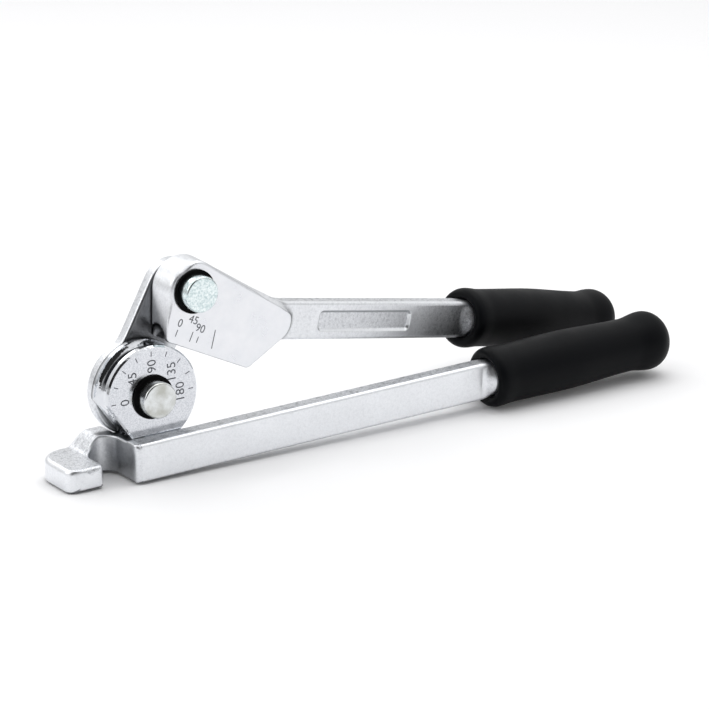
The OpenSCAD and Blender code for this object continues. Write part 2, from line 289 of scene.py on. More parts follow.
def zinc_plated_forging():
    """Drop-forged steel, blasted and bright zinc plated. Sides that the dies pressed are smooth and
    silvery. Where grain is high, as on trimmed tops, it is rough with dark pits. Where recess is
    high the colour is mixed towards a dark grey: painted shade in corners, under and between parts, and
    painted dark reflections. Low waves and patches of more polish run through it all."""
    grain_mm, pit_mm, wave_mm, patch_mm = 0.6, 1.6, 5, 14
    material, tree, mm = new_material("zinc_plated_forging")
    coarse = add(tree, "Attribute", {}, attribute_name="grain").outputs["Fac"]
    recess = add(tree, "Attribute", {}, attribute_name="recess").outputs["Fac"]
    patch = add(tree, "TexNoise", {"Vector": mm, "Scale": 1 / patch_mm, "Detail": 3.0})
    grain = add(tree, "TexNoise", {"Vector": mm, "Scale": 1 / grain_mm, "Detail": 3.0, "Roughness": 0.6})
    pit = add(tree, "TexNoise", {"Vector": mm, "Scale": 1 / pit_mm, "Detail": 3.0})
    wave = add(tree, "TexNoise", {"Vector": mm, "Scale": 1 / wave_mm, "Detail": 2.0})
    pitted = add(tree, "MapRange", {"Value": pit, "From Min": 0.36, "From Max": 0.54,
                                    "To Min": 0.7, "To Max": 0.0})
    rough = add(tree, "MapRange", {"Value": grain, "From Min": 0.35, "From Max": 0.65,
                                   "To Min": 0.6, "To Max": 0.0})
    dark = add(tree, "Math", {0: pitted, 1: rough}, operation="MAXIMUM")
    worn = add(tree, "Math", {0: dark, 1: coarse}, operation="MULTIPLY")
    tone = add(tree, "Mix", {0: worn, 6: linear("#F0F2F5"), 7: linear("#82858C")}, data_type="RGBA")
    # Painted shade and painted dark reflections: the colour is mixed towards dark grey by recess.
    painted_dark = add(tree, "Mix", {0: recess, 6: tone.outputs[2], 7: linear("#303236")}, data_type="RGBA")
    gloss = add(tree, "MapRange", {"Value": patch, "From Min": 0.3, "From Max": 0.7,
                                   "To Min": 0.28, "To Max": 0.4})
    low = add(tree, "Bump", {"Height": wave, "Strength": 0.25, "Distance": 0.0004})
    fine = add(tree, "Bump", {"Height": grain, "Strength": coarse, "Distance": 0.0002, "Normal": low})
    return surfaced(material, {"Metallic": 1.0, "Base Color": painted_dark.outputs[2], "Roughness": gloss,
                               "Normal": fine})


def ground_zinc_plate():
    """The head's ground faces, zinc plated: smoother and paler than the forging, with a faint
    mottle from the plating bath."""
    grain_mm, mottle_mm = 0.8, 9
    material, tree, mm = new_material("ground_zinc_plate")
    mottle = add(tree, "TexNoise", {"Vector": mm, "Scale": 1 / mottle_mm, "Detail": 3.0})
    grain = add(tree, "TexNoise", {"Vector": mm, "Scale": 1 / grain_mm, "Detail": 2.0})
    tone = add(tree, "ValToRGB", {"Fac": mottle}, [(0.3, "#E4E6EA"), (0.7, "#F0F1F4")])
    gloss = add(tree, "MapRange", {"Value": mottle, "From Min": 0.3, "From Max": 0.7,
                                   "To Min": 0.26, "To Max": 0.34})
    fine = add(tree, "Bump", {"Height": grain, "Strength": 0.2, "Distance": 0.00005})
    return surfaced(material, {"Metallic": 1.0, "Base Color": tone, "Roughness": gloss, "Normal": fine})


def satin_chrome_face():
    """The form's turned face, bright plated over fine tool marks: satin, with a close speckle."""
    speck_mm = 0.5
    material, tree, mm = new_material("satin_chrome_face")
    speck = add(tree, "TexNoise", {"Vector": mm, "Scale": 1 / speck_mm, "Detail": 3.0})
    tone = add(tree, "ValToRGB", {"Fac": speck}, [(0.32, "#C2C5CB"), (0.6, "#E2E4E8")])
    fine = add(tree, "Bump", {"Height": speck, "Strength": 0.2, "Distance": 0.00006})
    return surfaced(material, {"Metallic": 1.0, "Base Color": tone, "Roughness": 0.16, "Normal": fine})


def bright_chrome_rim():
    """The form's rim and groove, polished and bright plated: close to a mirror, with faint turned
    waves that break up the reflections. Where recess is high, at the bottom of the groove and
    the back edge, shade is painted: the colour is mixed towards near black and the surface is rougher."""
    wave_mm = 3
    material, tree, mm = new_material("bright_chrome_rim")
    recess = add(tree, "Attribute", {}, attribute_name="recess").outputs["Fac"]
    wave = add(tree, "TexNoise", {"Vector": mm, "Scale": 1 / wave_mm, "Detail": 2.0})
    tone = add(tree, "ValToRGB", {"Fac": wave}, [(0, "#D2D5DA"), (1, "#E6E8EB")])
    # Painted shade at the groove's bottom and the back edge: colour mixed towards near black.
    painted_dark = add(tree, "Mix", {0: recess, 6: tone, 7: linear("#17181B")}, data_type="RGBA")
    gloss = add(tree, "MapRange", {"Value": recess, "To Min": 0.05, "To Max": 0.3})
    low = add(tree, "Bump", {"Height": wave, "Strength": 0.8, "Distance": 0.0002})
    return surfaced(material, {"Metallic": 1.0, "Base Color": painted_dark.outputs[2], "Roughness": gloss,
                               "Normal": low})


def turned_pin_steel(name, axis, dark, bright, speck_mm):
    """Turned and plated pin: rings of tool marks round its axis, about 0.35 mm apart, that catch
    the light. Its two tones carry a painted reflection, tinted by what the pin reflects."""
    mark_mm = 0.35
    material, tree, mm = new_material(name)
    centre = HANDLE_ORIGIN + (axis[0], 0, axis[1])
    apart = add(tree, "VectorMath", {0: mm, 1: tuple(centre)}, operation="SUBTRACT")
    flat = add(tree, "VectorMath", {0: apart, 1: (1, 0, 1)}, operation="MULTIPLY")
    radius = add(tree, "VectorMath", {0: flat}, operation="LENGTH").outputs["Value"]
    marks = add(tree, "TexNoise", {"W": radius, "Scale": 1 / mark_mm, "Detail": 2.0}, noise_dimensions="1D")
    mottle = add(tree, "TexNoise", {"Vector": mm, "Scale": 1 / speck_mm, "Detail": 3.0})
    tone = add(tree, "ValToRGB", {"Fac": mottle}, [(0.3, dark), (0.65, bright)])
    fine = add(tree, "Bump", {"Height": marks, "Strength": 0.4, "Distance": 0.00008})
    return surfaced(material, {"Metallic": 1.0, "Base Color": tone, "Roughness": 0.2, "Normal": fine})


def blackened_spring_steel():
    """Oiled black oxide on spring steel: near black, half gloss, with a slight grey bloom."""
    bloom_mm = 1.5
    material, tree, mm = new_material("blackened_spring_steel")
    bloom = add(tree, "TexNoise", {"Vector": mm, "Scale": 1 / bloom_mm, "Detail": 3.0})
    tone = add(tree, "ValToRGB", {"Fac": bloom}, [(0, "#040405"), (1, "#0E0E0F")])
    return surfaced(material, {"Base Color": tone, "Roughness": 0.45, "Specular IOR Level": 0.04})


def moulded_black_rubber():
    """Dip-moulded soft vinyl rubber: deep black with a satin skin, a fine leathery grain of about
    0.7 mm and a faint grey sheen where it turns away."""
    grain_mm, cloud_mm = 0.7, 12
    material, tree, mm = new_material("moulded_black_rubber")
    cloud = add(tree, "TexNoise", {"Vector": mm, "Scale": 1 / cloud_mm, "Detail": 3.0})
    grain = add(tree, "TexNoise", {"Vector": mm, "Scale": 1 / grain_mm, "Detail": 2.0})
    tone = add(tree, "ValToRGB", {"Fac": cloud}, [(0, "#050608"), (1, "#090B0F")])
    gloss = add(tree, "MapRange", {"Value": cloud, "From Min": 0.3, "From Max": 0.7,
                                   "To Min": 0.42, "To Max": 0.54})
    fine = add(tree, "Bump", {"Height": grain, "Strength": 0.25, "Distance": 0.00008})
    return surfaced(material, {"Base Color": tone, "Roughness": gloss, "Normal": fine, "IOR": 1.5,
                               "Specular IOR Level": 0.08, "Sheen Weight": 0.012, "Sheen Roughness": 0.5})


def stamped_mark():
    """Bottom of a stamped mark, where plating stays dull and grime collects: dark grey, uneven."""
    grime_mm = 0.8
    material, tree, mm = new_material("stamped_mark")
    grime = add(tree, "TexNoise", {"Vector": mm, "Scale": 1 / grime_mm, "Detail": 3.0})
    tone = add(tree, "ValToRGB", {"Fac": grime}, [(0, "#3A3C40"), (1, "#7B7E84")])
    return surfaced(material, {"Metallic": 0.6, "Base Color": tone, "Roughness": 0.5})


FORGED = zinc_plated_forging()
GROUND = ground_zinc_plate()
CHROME_FACE = satin_chrome_face()
CHROME_RIM = bright_chrome_rim()
# Painted reflection: the form pin's warm grey and the shoe pin's bluish white tints stand for what each
# reflects.
LOWER_PIN_STEEL = turned_pin_steel("turned_form_pin", FORM_AXIS, "#B9BAB4", "#E2E5E6", 6)
UPPER_PIN_STEEL = turned_pin_steel("turned_shoe_pin", SHOE_PIN, "#BDCFD1", "#F0F8F8", 0.9)
SPRING_STEEL = blackened_spring_steel()
RUBBER = moulded_black_rubber()
STAMPED = stamped_mark()


# Lower handle: the bar, the seat under the form, and the hook in front of it

LOWER_STATIONS = [-11.3, -11, 40, 90, 140]
SEAT_FRONT, SEAT_END, SEAT_EDGE = 3, 15, 0.8
SLOT_LEFT = -BEND_R - GROOVE_R
SLOT_W = 13.5
SLOT_RIGHT = SLOT_LEFT + SLOT_W
SLOT_R = SLOT_W / 2
SLOT_MIDDLE = np.array([SLOT_LEFT + SLOT_R, GROOVE_Y])
HOOK_LEFT = -44.74
HOOK_FRONT = 0.8
HOOK_BACK = 31.25
HOOK_H = 10.4
HOOK_BACK_R = 12
HOOK_CORNER = 5
HOOK_EDGE, HOOK_SIDE_EDGE, HOOK_FOOT_EDGE = 1.0, 2.3, 1.0
BLOCK_ROUND = 1.9
NECK_RIGHT = -2
ARM_ROUND = 2.3
DISC_ROOM_R = 21.8
# The slope from the block up to the neck: its start, length and hollowness
RISE_X, RISE_L, RISE_POWER = -28.0, 8.8, 1.25
# The step from the seat's height up to the bar's, along Y, and how far it stays under the bar's top
STEP_BACK, STEP_FRONT, STEP_UNDER = 5, 3.5, 0.04
# Columns of a hook section: its top, its foot with the lower rounds, and the slot's wall
TOP_COLUMNS, FOOT_COLUMNS, WALL_COLUMNS = range(13), range(20, 28), range(26, 32)


def hook_top(x, y):
    """Height of the forging over the plan: the low block, a hollow slope up to the neck as a
    quarter sine, the bar's own height at the front, and the room for the link's disc behind the form."""
    climb = np.clip((x - RISE_X) / RISE_L, 0, 1) ** RISE_POWER
    height = HOOK_H + (SEAT_H - HOOK_H) * np.sin(climb * np.pi / 2)
    height = height + (BAR_H - SEAT_H - STEP_UNDER) * fade(y, STEP_BACK, STEP_FRONT) * (climb >= 1)
    room = FORM_AXIS_Z - np.sqrt(np.maximum(DISC_ROOM_R ** 2 - x ** 2, 0))
    return np.where(y > FORM_BACK, np.minimum(height, room), height)


def along(path, shares):
    """Points at shares of the length of a path."""
    length = np.concatenate([[0], np.cumsum(np.hypot(*np.diff(path, axis=0).T))])
    return np.stack([np.interp(shares * length[-1], length, path[:, k]) for k in (0, 1)], 1)


def rib_sections(inner, outer, inset, edge_in, edge_out, foot):
    """Sections of the forged hook. Each runs from a point of the slot's wall to a point of the outer
    side: over the top, down the outer side, along the flat underside and up the wall again,
    with quarter rounds at its corners. An inset draws a whole section in, for a rounded end."""
    span = outer - inner
    width = np.hypot(*span.T)[:, None]
    way = span / width
    inset = inset[:, None]
    a, b = inset, width - inset

    def plan(w):
        return (inner[:, None, k] + way[:, None, k] * w for k in (0, 1))

    above_bar = 0.02
    foot_up = inset + above_bar + foot
    top_w = a + edge_in + (b - a - edge_in - edge_out) * np.linspace(0, 1, len(TOP_COLUMNS))
    top_z = hook_top(*plan(top_w)) - inset
    c, s = arc(75, 0, 6)
    out_w, out_z = b - edge_out + edge_out * c, top_z[:, -1:] - edge_out + edge_out * s
    c, s = arc(0, -90, 5)
    foot_w, foot_z = b - foot + foot * c, foot_up + foot * s
    c, s = arc(-90, -180, 5)
    heel_w, heel_z = a + foot + foot * c, foot_up + foot * s
    c, s = arc(180, 105, 6)
    wall_w, wall_z = a + edge_in + edge_in * c, top_z[:, :1] - edge_in + edge_in * s
    w = np.concatenate([top_w, out_w, foot_w, heel_w, wall_w], 1)
    z = np.concatenate([top_z, out_z, foot_z, heel_z, wall_z], 1)
    return np.stack([*plan(w), z], -1)


def hook_sections():
    """The hook from the front of its block, back along it, round the slot's closed end and
    forward again to the front of the bar. Its wall follows the slot, and its outer side a box
    with round back corners."""
    turn = np.linspace(0, np.pi / 2, 7)
    straight = np.linspace(3, GROOVE_Y, 14)[1:]
    block_y = np.concatenate([HOOK_FRONT + BLOCK_ROUND * (1 - np.cos(turn)), straight])
    block_in = np.concatenate([BLOCK_ROUND * (1 - np.sin(turn)), np.zeros(len(straight))])
    corner = HOOK_CORNER - np.clip(block_y - HOOK_FRONT, 0, HOOK_CORNER)
    block_outer = np.stack([HOOK_LEFT + HOOK_CORNER - np.sqrt(HOOK_CORNER ** 2 - corner ** 2), block_y], 1)
    block_inner = np.stack([np.full_like(block_y, SLOT_LEFT), block_y], 1)

    share = np.linspace(0, 1, 50)[1:-1]
    bend_inner = SLOT_MIDDLE + SLOT_R * heading(np.pi * (1 - share))
    c, s = arc(180, 90, 20)
    turn_x, turn_y = HOOK_BACK_R * (1 + c), HOOK_BACK - HOOK_BACK_R * (1 - s)
    left_turn = np.stack([HOOK_LEFT + turn_x, turn_y], 1)
    right_turn = np.stack([NECK_RIGHT - turn_x, turn_y], 1)[::-1]
    around = np.concatenate([[[HOOK_LEFT, GROOVE_Y]], left_turn, right_turn, [[NECK_RIGHT, GROOVE_Y]]])
    bend_outer = along(around, share)

    front = -BAR_T / 2 + 0.03
    straight = np.linspace(GROOVE_Y, front + ARM_ROUND + 0.4, 16)
    arm_y = np.concatenate([straight, front + ARM_ROUND * (1 - np.sin(turn))])
    arm_in = np.concatenate([np.zeros(len(straight)), ARM_ROUND * (1 - np.cos(turn))])
    arm_inner = np.stack([np.full_like(arm_y, SLOT_RIGHT), arm_y], 1)
    arm_outer = np.stack([np.full_like(arm_y, NECK_RIGHT), arm_y], 1)

    inner = np.concatenate([block_inner, bend_inner, arm_inner])
    outer = np.concatenate([block_outer, bend_outer, arm_outer])
    inset = np.concatenate([block_in, np.zeros(len(share)), arm_in])
    return rib_sections(inner, outer, inset, HOOK_EDGE, HOOK_SIDE_EDGE, HOOK_FOOT_EDGE)


def hook_grain_and_shade(hook):
    """Painted shade and grain of the hook. Shade is painted on its lower rounds as a contact shadow, on the
    slot's wall towards the right and on the neck beside the form, under it. Its top is coarse."""
    foot_shade, wall_shade, neck_shade = 0.8, 0.52, 0.85
    top_grain, wall_grain = 0.85, 0.35
    x, y = hook[..., 0], hook[..., 1]
    parts = TOP_COLUMNS, FOOT_COLUMNS, WALL_COLUMNS
    top, foot, wall = (np.isin(np.arange(hook.shape[1]), part) for part in parts)
    right = fade(x, SLOT_MIDDLE[0], SLOT_RIGHT) * fade(y, -4, 0)
    neck = fade(x, -22, -18) * fade(y, 4, 6) * fade(y, 24, 21)
    behind_bar = fade(y, -3.5, -1.5)
    # Painted shade: the slot's right wall, the neck under the form, and a contact shadow on the lower rounds.
    recess = np.maximum(wall_shade * wall * right, neck_shade * top * neck)
    recess = np.maximum(foot_shade * foot * behind_bar, recess)
    recess[:2] = 0
    grain = np.where(top, top_grain, np.where(wall, wall_grain, SMOOTH_GRAIN))
    return recess, np.broadcast_to(grain, x.shape)


def seat_sections():
    """The seat under the form: a block with a rounded end at the right."""
    turn = np.linspace(0, np.pi / 2, 6)
    start = [-12, 0, SEAT_END - SEAT_EDGE - 0.3]
    x = np.concatenate([start, SEAT_END - SEAT_EDGE * (1 - np.sin(turn))])[:, None]
    inset = np.concatenate([np.zeros(len(start)), SEAT_EDGE * (1 - np.cos(turn))])[:, None]
    width = FORM_BACK - SEAT_FRONT
    across, up = rounded_section(width, SEAT_H, SEAT_EDGE + 0.05)
    y = across * (1 - inset / (width / 2)) + (FORM_BACK + SEAT_FRONT) / 2
    z = up * (1 - inset / (SEAT_H / 2) - 0.004) + SEAT_H / 2
    return np.stack([np.broadcast_to(x, y.shape), y, z], -1)


def run_out(x, reach):
    """Share of the way from the flat bar to the round end inside the grip's mouth."""
    return fade(x, reach - RUN_OUT, reach + 1)


def bar_end(reach):
    """Stations along the end of a bar: the run-out to the round, and on into the grip."""
    return np.concatenate([reach - RUN_OUT + np.linspace(-0.3, RUN_OUT + 1, 18), [reach + INTO_GRIP]])


def bar_sections(stations, section, reach, panel=None):
    """A section carried straight along X. At the grip's mouth its points move out along their rays
    from the axis, in step with X, until they lie on the round end that the grip is pushed over.
    A panel presses the front side in by its own depth."""
    across, up = section
    x = stations[:, None]
    grow = 1 + run_out(x, reach) * (ROUND_R / np.hypot(across, up) - 1)
    x, y, z = np.broadcast_arrays(x, across * grow, up * grow)
    if panel is not None:
        y = y + np.where(y < 0, panel(x, z), 0) * (np.abs(z) < BAR_H / 2 - BAR_EDGE)
    return np.stack([x, y, z], -1)


def bar_grain(stations, section, reach):
    """Grain of a bar: coarse on its trimmed top and underside and on the run-out, else smooth. The
    front edge of the top is rubbed smooth."""
    across, up = section
    rubbed_to = 0.9 * BAR_EDGE - BAR_T / 2
    level = np.clip((np.abs(up) - BAR_H / 2 + BAR_EDGE) / BAR_EDGE, 0, 1)
    level = level * np.where(up > 0, fade(across, rubbed_to, rubbed_to + 0.4), 1)
    share = run_out(stations, reach)[:, None]
    return np.maximum(SMOOTH_GRAIN + (1 - SMOOTH_GRAIN) * level ** 2, 1.8 * share * (1 - share))


def lower_handle():
    """Bar, seat and hook: three closed skins that run into each other. Shade is painted on the bar's
    coarse top and underside, growing towards the form."""
    top_shade, under_shade = 0.27, 0.85
    reach = LOWER_REACH + LIP_CONTACT
    stations = np.concatenate([LOWER_STATIONS, bar_end(reach)])
    section = rounded_section(BAR_T, BAR_H, BAR_EDGE, np.linspace(-BAR_FLAT, BAR_FLAT, 15))
    bar = bar_sections(stations, section, reach) + (0, 0, BAR_H / 2)
    bar_wear = bar_grain(stations, section, reach)
    # Painted shade on the bar's top and underside, growing towards the form.
    bar_shade = np.where(section[1] > 0, top_shade, under_shade) * (bar_wear - SMOOTH_GRAIN)
    bar_shade = bar_shade * fade(stations, 80, 10)[:, None]
    seat = seat_sections()
    plain = np.zeros(seat.shape[:2])
    hook = hook_sections()
    hook_shade, hook_grain = hook_grain_and_shade(hook)
    skins = [closed_skin(sections) for sections in (bar, seat, hook)]
    recess = np.concatenate([with_ends(field) for field in (bar_shade, plain, hook_shade)])
    grain = np.concatenate([with_ends(field) for field in (bar_wear, plain + SMOOTH_GRAIN, hook_grain)])
    make_piece("lower_handle_forging", skins, [FORGED], "lower", "forged_steel", ["lower_handle"],
               recess=recess, grain=grain)


lower_handle()


# Bending form: a grooved wheel with its flanges cut back, and the dial on its face

FORM_BASE = FORM_AXIS_Z - SEAT_H
FORM_CUT_WAY = np.radians(215)
FORM_CUT_R = 18.7
FORM_EDGE = 0.8
# Angles over which the painted shade at the groove's bottom fades out before the cut, and in again after it
DARK_TO, CUT_FROM, CUT_TO, DARK_FROM = np.radians([156, 172, 255, 265])


def form_reach(angle):
    """How far the form goes out in each direction: its rim, or the cut for the held tube,
    or its flat base on the seat, whichever is nearest."""
    towards_cut = np.cos(angle - FORM_CUT_WAY)
    cut = np.where(towards_cut > 0.1, FORM_CUT_R / np.maximum(towards_cut, 0.1), np.inf)
    down = -np.sin(angle)
    base = np.where(down > 0.1, FORM_BASE / np.maximum(down, 0.1), np.inf)
    return np.minimum(FORM_R, np.minimum(cut, base))


def bending_form():
    """Rows round the form's axis: the bore, the front face, the chamfered rim, the half-round groove
    and the back, each row held inside the form's reach in every direction. Shade is painted on the
    bottom of the groove and on the back edge, as a shadow line by the link."""
    face_rows, edge_shade, near = 3, 0.85, 0.2
    meet_x = (FORM_CUT_R + FORM_BASE * np.sin(FORM_CUT_WAY)) / np.cos(FORM_CUT_WAY)
    corners = [FORM_CUT_WAY - np.arccos(FORM_CUT_R / FORM_R),
               np.arctan2(-FORM_BASE, meet_x) % (2 * np.pi),
               2 * np.pi - np.arcsin(FORM_BASE / FORM_R)]
    angle = np.unique(np.concatenate([np.linspace(0, 2 * np.pi, 240, endpoint=False), corners]))
    reach = form_reach(angle)
    edge_y = FORM_EDGE * np.array([0, 0.02, 0.12, 0.88, 0.98, 1])
    edge_in = FORM_EDGE - edge_y
    half = np.arcsin((BEND_R - FORM_R) / GROOVE_R)
    swing = np.linspace(half, np.pi - half, 25)
    groove_y = GROOVE_Y - GROOVE_R * np.cos(swing)
    groove_in = FORM_R - (BEND_R - GROOVE_R * np.sin(swing))
    face_in = [FORM_EDGE + near]
    rim_in = np.concatenate([face_in, edge_in, [0], groove_in, [0], edge_in[::-1], face_in])[:, None]
    rim_y = np.concatenate([[FORM_FRONT], FORM_FRONT + edge_y, [groove_y[0] - near], groove_y,
                            [groove_y[-1] + near], FORM_BACK - edge_y[::-1], [FORM_BACK]])
    first = len(edge_in) + 2
    in_groove = np.isin(np.arange(len(rim_in)), first + np.arange(len(swing)))[:, None]
    rim = np.where(in_groove, np.minimum(reach, FORM_R - rim_in), reach - rim_in)
    bore = np.outer([BORE_R, BORE_R + near, BORE_R, BORE_R], np.ones(len(angle)))
    radius = np.concatenate([bore[:2], rim, bore[2:]])
    depth = np.concatenate([[FORM_FRONT, FORM_FRONT], rim_y, [FORM_BACK, FORM_BACK - near]])
    sections = upright(FORM_AXIS + radius[..., None] * heading(angle), depth[:, None])
    row = np.repeat(np.arange(len(sections)), len(angle))
    # Painted shade: the groove's bottom away from the cut, and the back edge.
    painted_dark = np.zeros(radius.shape)
    uncut = fade(angle, CUT_FROM, DARK_TO) + fade(angle, CUT_TO, DARK_FROM)
    painted_dark[first + 2:first + 2 + len(swing)] = np.outer(fade(np.sin(swing), 0.64, 0.84), uncut)
    painted_dark[-3 - len(edge_in):-3] = edge_shade
    make_piece("bending_form_wheel", [ring_skin(sections)], [CHROME_FACE, CHROME_RIM], "lower",
               "polished_steel", ["bending_form"], finish=row >= face_rows, recess=painted_dark.ravel())


bending_form()


# Link plate, pins and rings

LINK_FRONT = 18.8
LINK_BACK = 25
LINK_EDGE = 1.2
LINK_DISC_R = 21.3
LINK_ARM_W = 15.4
LINK_ARM_LEAN = 2.5
LINK_END_R = 14
LINK_END_SHORT = 3


def slab_sections(points, normals, front, back, edge, middle):
    """Plate with a given outline and quarter-round edges: rows from the middle of the front face
    out to its edge, over the rim, and back to the middle of the rear face."""
    c, s = arc(0, 90, 8)
    near = 0.3
    inset = np.concatenate([[edge + near], edge * (1 - s), edge * (1 - s[::-1]), [edge + near]])
    rim_y = np.concatenate([[front], front + edge * (1 - c), back - edge * (1 - c[::-1]), [back]])
    rim = points - inset[:, None, None] * normals
    share = np.linspace(0.2, 0.95, 10)
    ahead, behind = (middle + share[:, None, None] * (row - middle) for row in (rim[0], rim[-1]))
    flat = np.concatenate([ahead, rim, behind[::-1]])
    depth = np.concatenate([np.full(len(share), front), rim_y, np.full(len(share), back)])
    return upright(flat, depth[:, None])


def link_plate():
    """Disc round the form pin with an arm up to the shoe pin. From the form pin, the outline's reach
    is the greater of the disc's and the arm's, run together by a soft maximum. Shade is painted on the
    front of the arm, close behind the head, and the rim is grained."""
    soft, hidden_shade, rim_grain, rim_half = 16, 0.8, 0.5, 2.9
    angle = np.linspace(-np.pi, np.pi, 320, endpoint=False)
    near_end = [0, LINK_ARM_LEAN, LINK_ARM_W - LINK_ARM_LEAN]
    arm, _ = belt_outline([near_end, [LINK_L - LINK_END_SHORT, 0, LINK_END_R]], 60, 40)
    arm_angle = np.arctan2(arm[:, 1], arm[:, 0])
    order = np.argsort(arm_angle)
    arm_reach = np.interp(angle, arm_angle[order], np.hypot(*arm.T)[order], period=2 * np.pi)
    reach = (arm_reach ** soft + LINK_DISC_R ** soft) ** (1 / soft)
    reach = reach * np.maximum(arm_reach, LINK_DISC_R).max() / reach.max()
    outline = reach[:, None] * heading(angle)
    run = np.roll(outline, -1, 0) - np.roll(outline, 1, 0)
    normals = np.stack([run[:, 1], -run[:, 0]], 1) / np.hypot(*run.T)[:, None]
    turn = turn_by(LINK_WAY)
    outline = outline @ turn + FORM_AXIS
    sections = slab_sections(outline, normals @ turn, LINK_FRONT, LINK_BACK, LINK_EDGE, FORM_AXIS)
    points, faces = closed_skin(sections)
    far_x, far_y = ((points[:, [0, 2]] - FORM_AXIS) @ turn.T).T
    # Painted shade on the arm's front face, behind the head.
    hidden = fade(far_x, 4, 12) * fade(far_y, -9, -4)
    recess = hidden_shade * hidden * fade(points[:, 1], LINK_FRONT + 0.8, LINK_FRONT + 0.1)
    on_rim = np.abs(points[:, 1] - (LINK_FRONT + LINK_BACK) / 2) < rim_half
    make_piece("link_plate_forging", [(points, faces)], [FORGED], "link", "forged_steel", ["link_plate"],
               recess=recess, grain=np.where(on_rim, rim_grain, SMOOTH_GRAIN))


def link_pin(name, axis, face_y, steel, node):
    """Turned pin: a rounded free end, the plain shank and, behind the link, a low rounded head."""
    tip, end_round, head_r, head_t, head_round = 6, 0.9, 10.5, 2.5, 0.8
    middle_r, near = 0.5, 0.3
    tip_y, head_y = face_y - RING_PLAY - RING_T - tip, LINK_BACK + head_t
    end_flat, head_flat = PIN_R - end_round, head_r - head_round
    c, s = arc(0, 90, 8)
    radius = np.concatenate([[middle_r, end_flat - near], end_flat + end_round * s, [PIN_R, head_r],
                             head_flat + head_round * s[::-1], [head_flat - near, middle_r]])
    depth = np.concatenate([[tip_y, tip_y], tip_y + end_round - end_round * c, [LINK_BACK, LINK_BACK],
                            head_y - head_round + head_round * c[::-1], [head_y, head_y]])
    sections = turned_sections(radius, depth, axis)
    make_piece(name, [closed_skin(sections)], [steel], "link", "turned_steel", [node])


def pin_ring(name, axis, face_y, node):
    """Open retaining ring: a rounded rectangle carried round the pin, from one side of the gap
    to the other."""
    inner, outer, edge, gap = 7.5, 9.9, 0.2, 5
    open_half = np.degrees(np.arcsin(gap / 2 / outer))
    angle = np.radians(np.linspace(open_half, 360 - open_half, 90))
    across, deep = rounded_section(outer - inner, RING_T, edge)
    radius = (inner + outer) / 2 + across
    flat = axis + radius[:, None] * heading(-angle)[:, None]
    sections = upright(flat, face_y - RING_PLAY - RING_T / 2 + deep)
    make_piece(name, [closed_skin(sections)], [SPRING_STEEL], "link", "black_steel", [node])


link_plate()
link_pin("form_pin_turned", FORM_AXIS, FORM_FRONT, LOWER_PIN_STEEL, "form_pin")
link_pin("shoe_pin_turned", SHOE_PIN, HEAD_FRONT, UPPER_PIN_STEEL, "shoe_pin")
pin_ring("form_pin_spring_ring", FORM_AXIS, FORM_FRONT, "form_pin_ring")
pin_ring("shoe_pin_spring_ring", SHOE_PIN, HEAD_FRONT, "shoe_pin_ring")


# Upper handle: the head with the grooved shoe, and the bar with its panel

SHOE_DROP = 24.7
SHOE_GROOVE_V = BEND_R - LINK_L
HEAD_CIRCLES = np.array([[-2.3, -22.2, 2.5], [40, -21.4, 3.3], [46, -1.7, 9.6], [0, 0, 13.8]])
# Front edge of the head: its width on the face, its depth, and the draft of its side. Each is given
# as everywhere, with so much more over the top, and so much more down the left
EDGE_WIDE, EDGE_DEEP, EDGE_DRAFT = (0.5, 0.6, 0.7), (0.5, 0.8, 1.3), (0, 0.4, 1.9)
BACK_EDGE = 1.2
# The hollow behind the face's upper edge: its width at the pin, growth to the root, and depth
HOLLOW_WIDE, HOLLOW_GROWTH, HOLLOW_DEPTH = 1.8, 0.015, 3
BORE_CHAMFER = 0.35
GROOVE_FLARE, GROOVE_FLARE_L, GROOVE_FLARE_BACK = 2.6, 5, 1.6
ROOT_FILLET, ROOT_TUCK, ROOT_IN = 2.6, 1.2, 0.5
TOP_FILLET, TOP_FILLET_END, TOP_LEAN = 28, 8.9, np.radians(20.5)
PANEL_START, PANEL_L, PANEL_H = 29.4, 61.3, 10.2
PANEL_DEPTH, PANEL_R, PANEL_SLOPE = 1.1, 2.8, 1.5


def in_head(flat, depth):
    """Points of the head from distances along the shoe and up from the shoe pin."""
    return upright(flat @ turn_by(SHOE_WAY) + SHOE_PIN, depth)


def head_edges(points, normals):
    """Front edge of the head, as its width on the face and its depth, and the draft of its side:
    narrow along the shoe and round the root, wider over the top, and widest down the left side.
    Last comes the hollow between the edge and the top side, which grows towards the root."""
    u, v = points.T
    normal_u, normal_v = normals.T
    top = fade(normal_v, 0.2, 0.7) * fade(u, 40, 30)
    left = fade(normal_u, -0.2, -0.8) * fade(v, -20, -8)
    shares = np.stack([np.ones(len(points)), top, left], 1)
    wide, deep, draft = (shares @ sizes for sizes in (EDGE_WIDE, EDGE_DEEP, EDGE_DRAFT))
    upward = fade(normal_v, 0.55, 0.97) * fade(u, 2, 14)
    hollow = np.maximum(HOLLOW_WIDE + HOLLOW_GROWTH * u - wide - draft, 0) * upward
    return wide, deep, draft, hollow


